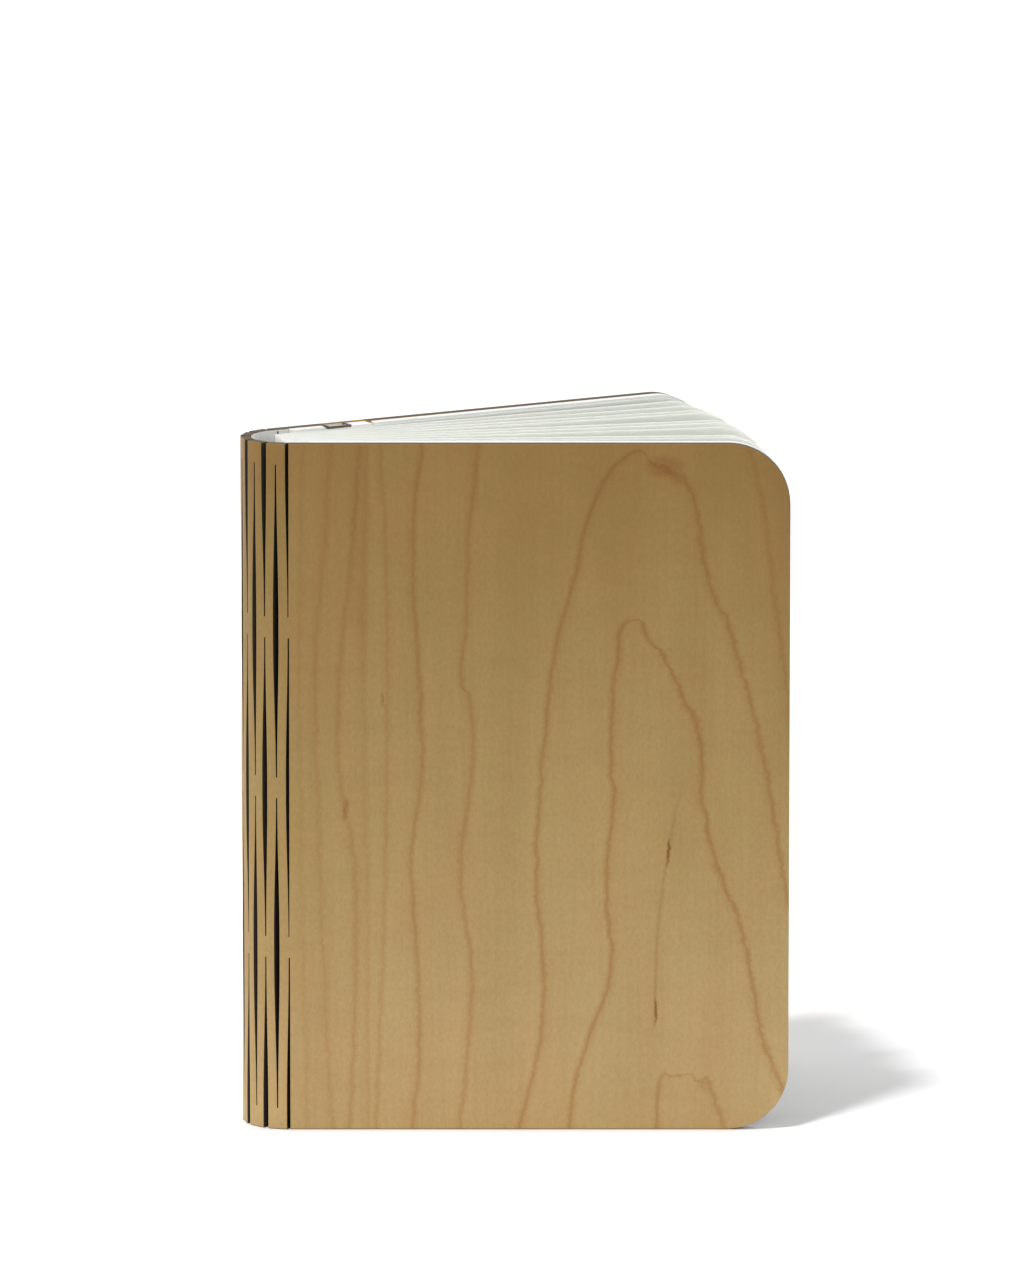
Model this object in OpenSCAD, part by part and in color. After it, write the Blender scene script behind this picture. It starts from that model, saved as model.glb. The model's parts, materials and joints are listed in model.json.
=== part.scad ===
// Folding book lamp.
// Two veneered covers and their spine are one board, and the spine is cut into a
// lattice that bends: full slits, open at both ends of the spine, alternate with
// half slits that stop short of them. A pleated fan of translucent leaves is
// glued between the covers, and the light stands inside the spine.
//
// The spine bends at ten upright lines, one down each narrow strip between a
// full slit and a half slit. Between them lie nine units: ribs (odd), whose
// strips are joined across a half slit, and links (even), whose strips are
// joined across a full slit. Each line turns by a tenth of the whole bend, so a
// strip is square to its rib at the rib's height and to its link at the link's,
// and twists in between.
//
// Every piece is drawn in the closed book, where all is square: X runs from the
// first slit to the free edge, Y from the front cover's face to the back
// cover's, and Z up. Then it is carried to where the open book has it.

/* [Book] */
// Height of the covers
cover_h = 215; // [190:1:240]
// Length of a cover from the nearest slit to the free edge
cover_l = 154; // [140:0.5:170]
// Thickness of the veneered board
cover_t = 3; // [2.8:0.1:3.2]
// Radius of the covers' rounded corners
corner_r = 19; // [10:0.5:26]
// Angle at which the book stands open
open_angle = 29; // [15:1:60]

/* [Living hinge] */
// Distance between two neighbouring full slits, along the board
slit_pitch = 6.9; // [6.8:0.05:7.4]
// Width of a slit at its widest
slit_wide = 0.9; // [0.9:0.05:1.1]
// Width of a slit at its narrowest
slit_narrow = 0.35; // [0.25:0.05:0.5]
// Height of each bridge of wood that crosses a slit
bridge_h = 6.5; // [5:0.5:8]
// Distance of the links' bridges from the top and bottom edges
link_z = 57.3; // [50:0.1:62]

/* [Pages] */
// Thickness of the page sheet
sheet_t = 0.25; // [0.2:0.01:0.3]
// Width of a leaf's open inner end
leaf_mouth = 0.9; // [0.8:0.05:0.95]
// Thickness of a leaf at its outer fold
leaf_fold = 0.56; // [0.5:0.02:0.7]
// Distance of the inner folds from the first slit, in the closed book
page_x = 0.6; // [0:0.1:2]
// Distance that the leaves' outer folds lie inside the covers' free edges
page_inset = 1.4; // [1:0.1:3]
// Distance of the pages from the covers' top and bottom edges
page_gap = 0.8; // [0.5:0.1:2]
// How far an inner fold reaches towards the spine
fold_reach = 1.1; // [0.8:0.1:1.4]

/* [Linings] */
// Thickness of the white board inside each cover
board_t = 3.2; // [2.8:0.1:3.4]
// Distance of the white boards' hinge edges from the slits
board_x = 6; // [5.5:0.5:8]
// Distance of the white boards' other edges from the covers' edges
board_inset = 0.1; // [0:0.1:1]
// How far the spine lining is glued on to each cover
lining_tuck = 5; // [3:0.5:5]
// Clearance of the lining from the wood
lining_gap = 0.05; // [0.02:0.01:0.1]

/* [Light] */
// Width of the strip that carries the light sources
led_board_w = 4; // [3.6:0.1:4.4]
// Thickness of that strip
led_board_t = 1; // [0.8:0.1:1.2]
// Distance of the strip's ends from the top and bottom edges
led_board_gap = 2; // [1.5:0.5:5]
// Number of light sources
led_count = 18; // [10:1:24]
// Size of a light source: width, thickness and height
led_size = [2.8, 0.8, 3.5];
// Height of the adhesive pads that hold the strip off the lining
pad_t = 0.3; // [0.26:0.02:0.4]
// Width of the flat lead between the strip and the control board
ribbon_w = 8; // [6:0.5:9]
// Thickness of the flat lead
ribbon_t = 0.12; // [0.1:0.01:0.14]

/* [Power] */
// Distance of the charging port from the slit, along the back cover
port_x = 18.5; // [16:0.5:22]
// Width of the port
port_w = 15.5; // [14:0.5:17]
// Depth of the port's notch
port_h = 12; // [10:0.5:14]
// Thickness of wood left outside the port
port_skin = 0.7; // [0.6:0.05:0.9]
// Size of the socket: width, thickness and height
socket_size = [7.5, 2.6, 6];
// Depth of the socket's face below the top edge
socket_drop = 1.6; // [1:0.1:2.5]
// Length of the control tray below the port
tray_h = 62; // [56:1:70]
// Size of the battery: width, thickness and height
battery_size = [50, 2.8, 110];
// Distance of the battery from the slit, along the back cover
battery_x = 46; // [42:1:60]
// Distance of the battery's upper end from the top edge
battery_drop = 57; // [54:1:60]
// Size of the charging chip: width, thickness and height
charge_chip = [5, 1, 5];
// Size of the coil
coil = [4, 1.2, 4];
// Size of the chip that drives the light
driver_chip = [6, 1.3, 4];
// Size of the flat lead's connector
ribbon_socket = [4, 0.9, 5];
// Size of the battery's connector
battery_socket = [5, 1.3, 6];

/* [Magnets] */
// Diameter of the holding magnets
magnet_d = 10; // [8:0.5:12]
// Thickness of the holding magnets
magnet_t = 1.5; // [1.2:0.1:1.8]
// Distance of the holding magnets from the free edge
magnet_edge = 9; // [8:0.5:12]
// Distance of the holding magnets from the top and bottom edges
magnet_z = 42; // [35:1:60]
// Diameter of the magnet that works the switch
trip_d = 6; // [5:0.5:8]

/* [Hidden] */
$fn = 96;
eps = 0.01;
bend_lines = 10;
led_unit = 5;
closed_turn = 180 / bend_lines;
rest_turn = (180 - open_angle) / bend_lines;
leaf_step = open_angle / bend_lines;

// Across the slits: a strip runs from one slit to the next on both sides of its
// own bend line, which lies a quarter pitch from either slit's centre.
line_step = slit_pitch / 2;
line_to_slit = slit_pitch / 4;
unit_half = slit_pitch / 2 - slit_wide / 2;
slit_edge = slit_narrow / 2;
strip_slices = 8;

// Heights of the bridges' lower ends, and of the strips between them
rib_z = [0, (cover_h - bridge_h) / 2, cover_h - bridge_h];
link_low = link_z - bridge_h / 2;
link_zs = [link_low, cover_h - link_low - bridge_h];
strip_spans = [
    [bridge_h, link_low, 0, 1],
    [link_low + bridge_h, rib_z[1], 1, 0],
    [rib_z[1] + bridge_h, link_zs[1], 0, 1],
    [link_zs[1] + bridge_h, rib_z[2], 1, 0]
];

// Where a bend line and a unit's middle lie when each line turns by t
function bend_line(i, t) =
    i == 0 ? [-line_to_slit, cover_t / 2]
           : bend_line(i - 1, t) + line_step * [-cos(i * t), sin(i * t)];
function unit_at(j, t) =
    j == 0 ? [0, cover_t / 2]
           : bend_line(j - 1, t) + line_to_slit * [-cos(j * t), sin(j * t)];

// A point of the closed book, carried by unit j to where the open book has it
function spun(v, a) = [v[0] * cos(a) - v[1] * sin(a), v[0] * sin(a) + v[1] * cos(a)];
function carried(j, p) =
    unit_at(j, rest_turn) + spun(p - unit_at(j, closed_turn), j * leaf_step);

// The closed book's depth, and the pages' places in it
back_mid = unit_at(bend_lines, closed_turn)[1];
closed_t = back_mid + cover_t / 2;
page_front = cover_t + board_t + sheet_t;
page_back = closed_t - page_front;
leaf_l = cover_l - page_x - page_inset;
function leaf_at(j) = [page_x, page_front + (page_back - page_front) * j / bend_lines];
function leaf_dir(j) = [cos(j * leaf_step), sin(j * leaf_step)];

// A strip's cross-section at the share w of the way from its rib to its link
function smooth(s) = s * s * (3 - 2 * s);
function full_slit_edge(w) = line_to_slit - (slit_wide + (slit_narrow - slit_wide) * w) / 2;
function half_slit_edge(w) = line_to_slit - (slit_narrow + (slit_wide - slit_narrow) * w) / 2;
function strip_corner(i, w, side, y, z) =
    let(
        odd = i % 2 == 1,
        rib = odd ? i : i - 1,
        link = odd ? i - 1 : i,
        a = (rib + (link - rib) * w) * rest_turn,
        full_side = odd ? 1 : -1,
        x = side * (side == full_side ? full_slit_edge(w) : half_slit_edge(w)),
        at = bend_line(i - 1, rest_turn) + spun([x, y], -a)
    ) [at[0], at[1], z];
function strip_ring(i, w, z) = [
    for (c = [[1, -1], [1, 1], [-1, 1], [-1, -1]]) strip_corner(i, w, c[0], c[1] * cover_t / 2, z)
];

// The reach of the open book, for its middle
spine_corners = [
    for (i = [1:bend_lines], k = [0:strip_slices])
        each strip_ring(i, smooth(k / strip_slices), 0)
];
book_mid = [
    (min([for (c = spine_corners) c[0]]) + cover_l) / 2,
    (min([for (c = spine_corners) c[1]]) + carried(bend_lines, [cover_l, closed_t])[1]) / 2
];

// A line of points inside the spine, at a distance from the board's middle
function inner_point(i, d) =
    let(m = (i + 0.5) * rest_turn)
    bend_line(i, rest_turn) + d / cos(rest_turn / 2) * [sin(m), cos(m)];
function inner_line(first, d) = [for (i = [first:bend_lines - 1]) inner_point(i, d)];
function reversed(p) = [for (k = [len(p) - 1:-1:0]) p[k]];

lining_in = cover_t / 2 + lining_gap;
lining_out = lining_in + sheet_t;
led_seat = lining_out + pad_t;

// The control tray and what it holds, in the back cover's own length and height
port_fit = 0.2;
tray_floor = 0.55;
tray_y = cover_t + lining_gap;
tray_top = cover_h - 0.4;
pcb_t = 0.8;
pcb_y = tray_y + tray_floor;
pcb_x = port_x + 0.5;
pcb_w = port_w - 1;
pcb_low = cover_h - port_h - tray_h + 2;
pcb_h = tray_h - 5;
// What stands on the control board: its size, and the place of its lower left
// corner as shares of the board's width and height
chips = [
    [charge_chip, 0.17, 0.81],
    [coil, 0.6, 0.74],
    [driver_chip, 0.17, 0.6],
    [ribbon_socket, 0.66, 0.53],
    [battery_socket, 0.55, 0.105]
];
function chip_at(c) = [pcb_x + c[1] * pcb_w, pcb_y + pcb_t, pcb_low + c[2] * pcb_h];
socket_x = port_x + 0.9;
socket_y = pcb_y - socket_size[1];
socket_top = cover_h - socket_drop;
well_x = port_x - 1;
well_w = port_w + 2;
battery_room = 1;
ribbon_z = pcb_low + 34;
ribbon_in = lining_out + 0.02;
ribbon_end = port_x + 3;
lead_d = 1;
lead_step = 1.6;
lead_x = chip_at(chips[4])[0] + battery_socket[0];
lead_z = chip_at(chips[4])[2] + 2.2;
battery_z = cover_h - battery_drop - battery_size[2];
trip_x = port_x + port_w / 2;
trip_z = pcb_low + 20;
magnet_zs = [magnet_z, cover_h - magnet_z];

// --- Places -----------------------------------------------------------------

// The middle of the open book's footprint is the origin
module place() translate([-book_mid[0], -book_mid[1], 0]) children();

// What unit j carries, drawn in the closed book
module carry(j) {
    from = unit_at(j, closed_turn);
    to = unit_at(j, rest_turn);
    place()
        translate([to[0], to[1], 0])
            rotate([0, 0, j * leaf_step])
                translate([-from[0], -from[1], 0])
                    children();
}

// What unit j carries, drawn about the unit's own middle with Y inwards
module on_unit(j) {
    at = unit_at(j, rest_turn);
    place()
        translate([at[0], at[1], 0])
            rotate([0, 0, -j * rest_turn])
                children();
}

// The back cover's pieces are drawn like the front cover's: Y inwards from its face
module on_back() carry(bend_lines) translate([0, closed_t, 0]) mirror([0, 1, 0]) children();

// A flat shape drawn in X and Z, given the thickness t along Y from y
module upright(y, t) translate([0, y + t, 0]) rotate([90, 0, 0]) linear_extrude(t) children();

// A sheet's outline from x0 to x1, with the two free corners rounded
module outline(x0, x1, inset, r) {
    h = cover_h - 2 * inset;
    translate([x0, inset]) square([x1 - r - x0, h]);
    translate([x1 - r - eps, inset + r]) square([r + eps, h - 2 * r]);
    for (z = [inset + r, inset + h - r]) translate([x1 - r, z]) circle(r);
}

// --- Covers and spine ---------------------------------------------------------

module cover_panel() {
    difference() {
        union() {
            upright(0, cover_t) outline(slit_edge, cover_l, 0, corner_r);
            for (z = link_zs)
                translate([-unit_half, 0, z]) cube([unit_half + slit_edge + eps, cover_t, bridge_h]);
        }
        for (z = magnet_zs)
            translate([cover_l - magnet_edge, cover_t - magnet_t - 0.1, z])
                rotate([-90, 0, 0]) cylinder(d = magnet_d + 0.2, h = magnet_t + 1);
    }
}

module front_cover() color([0.72, 0.6, 0.4]) place() cover_panel();

module back_cover() color([0.72, 0.6, 0.4]) on_back() difference() {
    cover_panel();
    translate([port_x, port_skin, cover_h - port_h]) cube([port_w, cover_t, port_h + 1]);
}

// A rib or a link: one block for each bridge
module unit_blocks(j, zs) color([0.66, 0.53, 0.34]) on_unit(j)
    for (z = zs) translate([-unit_half, -cover_t / 2, z]) cube([2 * unit_half, cover_t, bridge_h]);

module spine_rib(k) unit_blocks(2 * k - 1, rib_z);
module spine_link(k) unit_blocks(2 * k, link_zs);

// The four twisted lengths of strip i between its bridges
module spine_strip(i) color([0.7, 0.57, 0.37]) place() for (s = strip_spans) {
    n = strip_slices;
    rings = [
        for (k = [0:n])
            each strip_ring(i, s[2] + (s[3] - s[2]) * smooth(k / n), s[0] + (s[1] - s[0]) * k / n)
    ];
    sides = [
        for (k = [0:n - 1], c = [0:3])
            let(a = 4 * k + c, b = 4 * k + (c + 1) % 4)
            each [[a, a + 4, b + 4], [a, b + 4, b]]
    ];
    ends = [[0, 1, 2], [0, 2, 3], [4 * n + 2, 4 * n + 1, 4 * n], [4 * n + 3, 4 * n + 2, 4 * n]];
    polyhedron(rings, concat(sides, ends));
}

// --- Linings ------------------------------------------------------------------

module board_panel() upright(cover_t, board_t)
    outline(board_x, cover_l - board_inset, board_inset, corner_r - board_inset);

module front_board() color([0.95, 0.95, 0.93]) place() difference() {
    board_panel();
    translate([trip_x, cover_t + board_t - 2, trip_z])
        rotate([-90, 0, 0]) cylinder(d = trip_d + 0.2, h = 3);
}

module back_board() color([0.95, 0.95, 0.93]) on_back() difference() {
    board_panel();
    // the well of the control tray, open at the top
    translate([well_x, cover_t - 1, pcb_low - 4]) cube([well_w, board_t + 2, cover_h]);
    // the battery's well
    translate([battery_x - battery_room, cover_t - 1, battery_z - battery_room])
        cube([battery_size[0] + 2 * battery_room, board_t + 2, battery_size[2] + 2 * battery_room]);
    // channels for the battery leads and the flat lead
    translate([well_x, cover_t - 1, lead_z - 2]) cube([battery_x - well_x, board_t + 2, lead_step + 4]);
    translate([0, cover_t - 1, ribbon_z - 1]) cube([well_x + 1, board_t + 2, ribbon_w + 2]);
}

// A page sheet glued to a white board, from the inner folds to the free edge
module endpaper() upright(cover_t + board_t, sheet_t)
    outline(page_x, page_x + leaf_l, page_gap, corner_r - page_inset);

module front_endpaper() color("white") place() endpaper();
module back_endpaper() color("white") on_back() endpaper();

// A sheet that follows the inside of the spine from bend line first to the back
module spine_sheet(first, start, x_end, d_in, d_out, z, h) {
    tail = [for (d = [d_in, d_out]) carried(bend_lines, [x_end, back_mid - d])];
    place() translate([0, 0, z]) linear_extrude(h) polygon(concat(
        [start[0]], inner_line(first, d_in), tail,
        reversed(inner_line(first, d_out)), [start[1]]
    ));
}

module spine_lining() color([0.97, 0.97, 0.95]) {
    ys = [cover_t / 2 + lining_in, cover_t / 2 + lining_out];
    spine_sheet(0, [[lining_tuck, ys[0]], [lining_tuck, ys[1]]], lining_tuck,
        lining_in, lining_out, page_gap, cover_h - 2 * page_gap);
}

// --- Pages ----------------------------------------------------------------------

// A leaf is one sheet folded at its outer edge: a long, narrow V
module page_leaf(j) color([0.98, 0.98, 0.96]) carry(j) {
    at = leaf_at(j);
    m = leaf_mouth / 2;
    f = leaf_fold / 2;
    translate([at[0], at[1], 0]) intersection() {
        translate([0, 0, page_gap]) linear_extrude(cover_h - 2 * page_gap) polygon([
            [0, -m], [leaf_l - f, -f], [leaf_l, 0], [leaf_l - f, f], [0, m],
            [0, m - sheet_t], [leaf_l - 2 * f, 0], [0, sheet_t - m]
        ]);
        upright(-leaf_mouth, 2 * leaf_mouth) outline(0, leaf_l, page_gap, corner_r - page_inset);
    }
}

// An inner fold runs from one leaf's sheet round to the next one's: a cubic
// curve that leaves both leaves along their own directions.
function curve(a, b, c, d, s) =
    (1 - s) ^ 3 * a + 3 * (1 - s) ^ 2 * s * b + 3 * (1 - s) * s ^ 2 * c + s ^ 3 * d;
function fold_line(k, back, reach) =
    let(
        m = leaf_mouth / 2,
        ya = (k == 1 ? 0 : m) - back,
        yb = (k == bend_lines ? 0 : -m) + back,
        a = carried(k - 1, leaf_at(k - 1) + [0, ya]),
        b = carried(k, leaf_at(k) + [0, yb])
    ) [for (s = [0:0.1:1]) curve(a, a - reach * leaf_dir(k - 1), b - reach * leaf_dir(k), b, s)];

module page_fold(k) color([0.96, 0.96, 0.94]) place()
    translate([0, 0, page_gap]) linear_extrude(cover_h - 2 * page_gap)
        polygon(concat(
            fold_line(k, 0, fold_reach),
            reversed(fold_line(k, sheet_t, fold_reach + sheet_t * 4 / 3))
        ));

// --- Light ----------------------------------------------------------------------

led_len = cover_h - 2 * led_board_gap;
led_pitch = led_len / led_count;

module led_pads() color([0.9, 0.9, 0.9]) on_unit(led_unit)
    for (z = rib_z)
        translate([-1, lining_out, max(z, led_board_gap)])
            cube([2, pad_t, min(z + bridge_h, cover_h - led_board_gap) - max(z, led_board_gap)]);

module led_board() color([0.9, 0.92, 0.9]) on_unit(led_unit)
    translate([-led_board_w / 2, led_seat, led_board_gap]) cube([led_board_w, led_board_t, led_len]);

module leds() color([0.98, 0.85, 0.45]) on_unit(led_unit)
    for (k = [0:led_count - 1])
        translate([
            -led_size[0] / 2,
            led_seat + led_board_t,
            led_board_gap + (k + 0.5) * led_pitch - led_size[2] / 2
        ]) cube(led_size);

module led_ribbon() color([0.85, 0.6, 0.3]) {
    at = unit_at(led_unit, rest_turn);
    a = led_unit * rest_turn;
    start = [for (d = [ribbon_in, ribbon_in + ribbon_t]) at + d * [sin(a), cos(a)]];
    spine_sheet(led_unit, start, ribbon_end, ribbon_in, ribbon_in + ribbon_t, ribbon_z, ribbon_w);
}

// --- Power ----------------------------------------------------------------------

module control_tray() color([0.96, 0.96, 0.96]) on_back() difference() {
    union() {
        translate([port_x + port_fit, port_skin + 0.1, cover_h - port_h + port_fit])
            cube([
                port_w - 2 * port_fit,
                cover_t + board_t - 0.2 - port_skin,
                tray_top - cover_h + port_h - port_fit
            ]);
        translate([port_x + port_fit, tray_y, cover_h - port_h - tray_h])
            cube([port_w - 2 * port_fit, tray_floor, tray_h + 1]);
    }
    translate([socket_x - 0.05, socket_y - 0.05, cover_h - port_h - 1])
        cube([socket_size[0] + 0.1, socket_size[1] + 0.1, port_h + 2]);
    // room for the flat lead, which passes under the control board's end
    translate([port_x - 1, tray_y - 1, ribbon_z - 0.5])
        cube([ribbon_end - port_x + 1.5, 2 + tray_floor, ribbon_w + 1]);
}

module control_board() color([0.15, 0.4, 0.25]) on_back()
    translate([pcb_x, pcb_y, pcb_low]) cube([pcb_w, pcb_t, pcb_h]);

// Charging chip, coil, driver and the two connectors
module control_chips() color([0.12, 0.12, 0.13]) on_back()
    for (c = chips) translate(chip_at(c)) cube(c[0]);

module charge_socket() color([0.78, 0.78, 0.8]) on_back() {
    s = socket_size;
    wall = 0.3;
    translate([socket_x, socket_y, socket_top - s[2]]) {
        difference() {
            cube(s);
            translate([wall, wall, 1]) cube([s[0] - 2 * wall, s[1] - 2 * wall, s[2]]);
        }
        translate([1.9, 1.35, 0.5]) cube([s[0] - 3.8, 0.6, s[2] - 1.1]);
    }
}

module battery() color([0.75, 0.77, 0.8]) on_back() {
    s = battery_size;
    r = s[1] / 2;
    translate([battery_x, tray_y, battery_z]) {
        translate([r, 0, 0]) cube([s[0] - 2 * r, s[1], s[2]]);
        for (x = [r, s[0] - r]) translate([x, r, 0]) cylinder(r = r, h = s[2]);
    }
}

// Two leads from the battery's side to the control board's connector
module battery_leads() color([0.75, 0.1, 0.1]) on_back()
    for (k = [0, 1])
        translate([lead_x, pcb_y + pcb_t + lead_d / 2 + 0.1, lead_z + lead_step * k])
            rotate([0, 90, 0]) cylinder(d = lead_d, h = battery_x - lead_x);

module reed_switch() color([0.6, 0.75, 0.7]) on_back()
    translate([trip_x, pcb_y + pcb_t + 0.9, trip_z - 7]) {
        cylinder(d = 1.8, h = 14);
        translate([0, 0, -2]) cylinder(d = 0.6, h = 18);
    }

// --- Magnets --------------------------------------------------------------------

module switch_magnet() color([0.8, 0.8, 0.82]) place()
    translate([trip_x, cover_t + board_t - 1.9, trip_z])
        rotate([-90, 0, 0]) cylinder(d = trip_d, h = 1.8);

module cover_magnets() color([0.8, 0.8, 0.82]) for (z = magnet_zs)
    translate([cover_l - magnet_edge, cover_t - magnet_t, z])
        rotate([-90, 0, 0]) cylinder(d = magnet_d, h = magnet_t);

module front_magnets() place() cover_magnets();
module back_magnets() on_back() cover_magnets();

// --- Pieces by name ---------------------------------------------------------------

function named(stem, k) = str(stem, "_", k);

front_cover();
back_cover();
for (k = [1:5]) spine_rib(k);
for (k = [1:4]) spine_link(k);
for (k = [1:10]) spine_strip(k);
front_board();
back_board();
front_endpaper();
back_endpaper();
for (k = [1:9]) page_leaf(k);
for (k = [1:10]) page_fold(k);
spine_lining();
led_board();
leds();
led_pads();
led_ribbon();
control_tray();
control_board();
control_chips();
charge_socket();
battery();
battery_leads();
reed_switch();
switch_magnet();
front_magnets();
back_magnets();
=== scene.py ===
"""A folding book lamp: veneered covers, a lattice-cut wooden spine that bends, and a
pleated fan of translucent leaves. It stands open, switched off, on a pale floor."""

import json
import math

import bmesh
import bpy
import numpy as np
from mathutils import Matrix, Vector


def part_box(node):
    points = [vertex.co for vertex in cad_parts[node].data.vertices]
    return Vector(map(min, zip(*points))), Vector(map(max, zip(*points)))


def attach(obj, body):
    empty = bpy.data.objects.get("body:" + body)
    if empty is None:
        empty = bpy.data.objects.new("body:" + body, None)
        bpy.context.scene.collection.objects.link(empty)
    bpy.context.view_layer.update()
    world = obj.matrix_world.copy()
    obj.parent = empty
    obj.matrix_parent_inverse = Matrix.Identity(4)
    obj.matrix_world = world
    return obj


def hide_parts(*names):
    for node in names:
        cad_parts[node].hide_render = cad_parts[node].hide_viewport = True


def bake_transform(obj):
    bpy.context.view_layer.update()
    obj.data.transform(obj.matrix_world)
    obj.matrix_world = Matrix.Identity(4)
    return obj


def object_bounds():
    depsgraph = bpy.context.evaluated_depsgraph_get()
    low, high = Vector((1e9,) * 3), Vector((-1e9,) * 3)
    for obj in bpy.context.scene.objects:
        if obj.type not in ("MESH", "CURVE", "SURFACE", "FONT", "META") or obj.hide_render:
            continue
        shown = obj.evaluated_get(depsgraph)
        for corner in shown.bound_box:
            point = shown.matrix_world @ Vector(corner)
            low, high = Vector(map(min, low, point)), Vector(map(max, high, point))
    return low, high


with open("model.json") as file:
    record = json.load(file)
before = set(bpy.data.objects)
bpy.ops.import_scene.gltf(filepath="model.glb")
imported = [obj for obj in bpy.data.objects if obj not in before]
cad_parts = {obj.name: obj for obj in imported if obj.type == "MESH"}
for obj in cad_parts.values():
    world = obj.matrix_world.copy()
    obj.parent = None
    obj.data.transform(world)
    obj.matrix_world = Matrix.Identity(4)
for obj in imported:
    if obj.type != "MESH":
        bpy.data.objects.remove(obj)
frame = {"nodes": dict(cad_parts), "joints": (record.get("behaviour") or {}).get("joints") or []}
cad_low, cad_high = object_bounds()

# --- Sizes, in metres ----------------------------------------------------------------
MM = 0.001

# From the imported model: the bend lines, the board and the book's height
bend_lines = np.array([j["pos_m"][:2] for j in frame["joints"]])
LINES = len(bend_lines)
step = float(np.linalg.norm(bend_lines[1] - bend_lines[0]))
turn = math.atan2(bend_lines[1][1] - bend_lines[0][1], bend_lines[0][0] - bend_lines[1][0])
closed_turn = math.pi / LINES
opening = math.pi - LINES * turn
leaf_step = opening / LINES
cover_low, cover_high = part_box("front_cover")
height = cover_high.z
board = cover_high.y - cover_low.y
first_slit = np.array([bend_lines[0][0] + step / 2, cover_low.y])
cover_length = cover_high.x - first_slit[0]
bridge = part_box("spine_strip_1")[0].z

# The lattice: where a strip's edges lie from its bend line
link_middle = 57.3 * MM
slit_wide = 0.9 * MM
slit_narrow = 0.35 * MM
edge_round = 0.12 * MM

# The fan of leaves, as it lies in the closed book
sheet_t = 0.25 * MM
leaf_mouth = 0.9 * MM
leaf_fold = 0.56 * MM
page_start = 0.6 * MM
page_inset = 1.4 * MM
page_gap = 0.8 * MM
fold_reach = 1.1 * MM
leaf_ripple = 0.07 * MM
white_board = 3.2 * MM
corner = 19.0 * MM

# The port's notch on the back cover, in millimetres along the board from the first slit
port_half = 7.75
port_deep = 12.2
port_middle = LINES * step / MM + 18.5 + port_half

# The lining and the flat lead, as distances from the middle of the board
lining_near = board / 2 + 0.05 * MM
lead_near = lining_near + sheet_t + 0.02 * MM
lead_t = 0.12 * MM
lining_tuck = 5.9 * MM
lead_tail = 21.5 * MM

# Counts along the pieces' grids, and what is too short to be a length
STRIP_RINGS = 25
PAGE_COLUMNS = 30
TINY = 0.001 * MM

unit_bodies = [
    "front_cover" if j == 0
    else "back_cover" if j == LINES
    else f"rib_{(j + 1) // 2}" if j % 2
    else f"link_{j // 2}"
    for j in range(LINES + 1)
]


def smooth(t):
    """t² (3 - 2t), held to 0 and 1 outside them."""
    t = np.clip(t, 0, 1)
    return t * t * (3 - 2 * t)


def turned(points, angle):
    """Points (..., 2) turned about the origin by an angle, or by one angle each."""
    x, y = points[..., 0], points[..., 1]
    c, s = np.cos(angle), np.sin(angle)
    return np.stack([x * c - y * s, x * s + y * c], -1)


def unit_middles(angle):
    """The units' middles when each line turns by angle: every step runs along the unit it crosses."""
    steps = [step * np.array([-math.cos(i * angle), math.sin(i * angle)]) for i in range(LINES + 1)]
    line = first_slit + np.array([-step / 2, board / 2])
    middles = [first_slit + np.array([0, board / 2])]
    for j in range(1, LINES + 1):
        middles.append(line + steps[j] / 2)
        line = line + steps[j]
    return np.array(middles)


middles_closed = unit_middles(closed_turn)
middles_rest = unit_middles(turn)
closed_t = middles_closed[-1][1] - first_slit[1] + board / 2


def carried(j, points):
    """Points (..., 2) of the closed book, measured from the first slit and the front face, as unit j
    carries them to rest."""
    away = np.asarray(points) + first_slit - middles_closed[j]
    return middles_rest[j] + turned(away, j * leaf_step)


# --- Meshes ----------------------------------------------------------------------------

def finished(name, mesh, material, crease=35):
    """An object at the origin for a finished mesh, smooth up to the crease angle in degrees."""
    mesh.polygons.foreach_set("use_smooth", np.ones(len(mesh.polygons), bool))
    mesh.set_sharp_from_angle(angle=math.radians(crease))
    mesh.materials.clear()
    mesh.materials.append(material)
    thing = bpy.data.objects.new(name, mesh)
    bpy.context.scene.collection.objects.link(thing)
    return thing


def board_attribute(mesh, values):
    """Stores each vertex's place on the board: along it from the first slit, its depth and its height."""
    attribute = mesh.attributes.new("board", "FLOAT_VECTOR", "POINT")
    attribute.data.foreach_set("vector", np.asarray(values, np.float32).ravel())


def outward(points, faces):
    """Faces turned so that the closed shape's volume, the sum of its signed tetrahedra, is positive."""
    volume = sum(
        np.einsum("ij,ij->", points[faces[:, 0]], np.cross(points[faces[:, k]], points[faces[:, k + 1]]))
        for k in (1, 2)
    )
    return faces if volume > 0 else faces[:, ::-1]


def quads(rows, columns, wrap=False):
    """The faces of a grid of rows by columns, joined round its columns if wrap."""
    across = np.arange(columns if wrap else columns - 1)
    r, c = np.meshgrid(np.arange(rows - 1), across, indexing="ij")
    n = (c + 1) % columns
    low, high = r * columns, (r + 1) * columns
    return np.stack([low + c, low + n, high + n, high + c], -1).reshape(-1, 4)


def rod(name, rings):
    """A closed bar through rings (rows, columns, 3), its two ends covered by strips of quads."""
    rows, columns = rings.shape[:2]
    points = rings.reshape(-1, 3)
    ends = []
    for first in (0, (rows - 1) * columns):
        k = np.arange(columns // 2 - 1)
        ends.append(first + np.stack([k, k + 1, columns - 2 - k, columns - 1 - k], -1))
    faces = np.concatenate([quads(rows, columns, wrap=True), ends[0][:, ::-1], ends[1]])
    mesh = bpy.data.meshes.new(name)
    mesh.from_pydata(points.tolist(), [], outward(points, faces).tolist())
    return mesh


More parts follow.
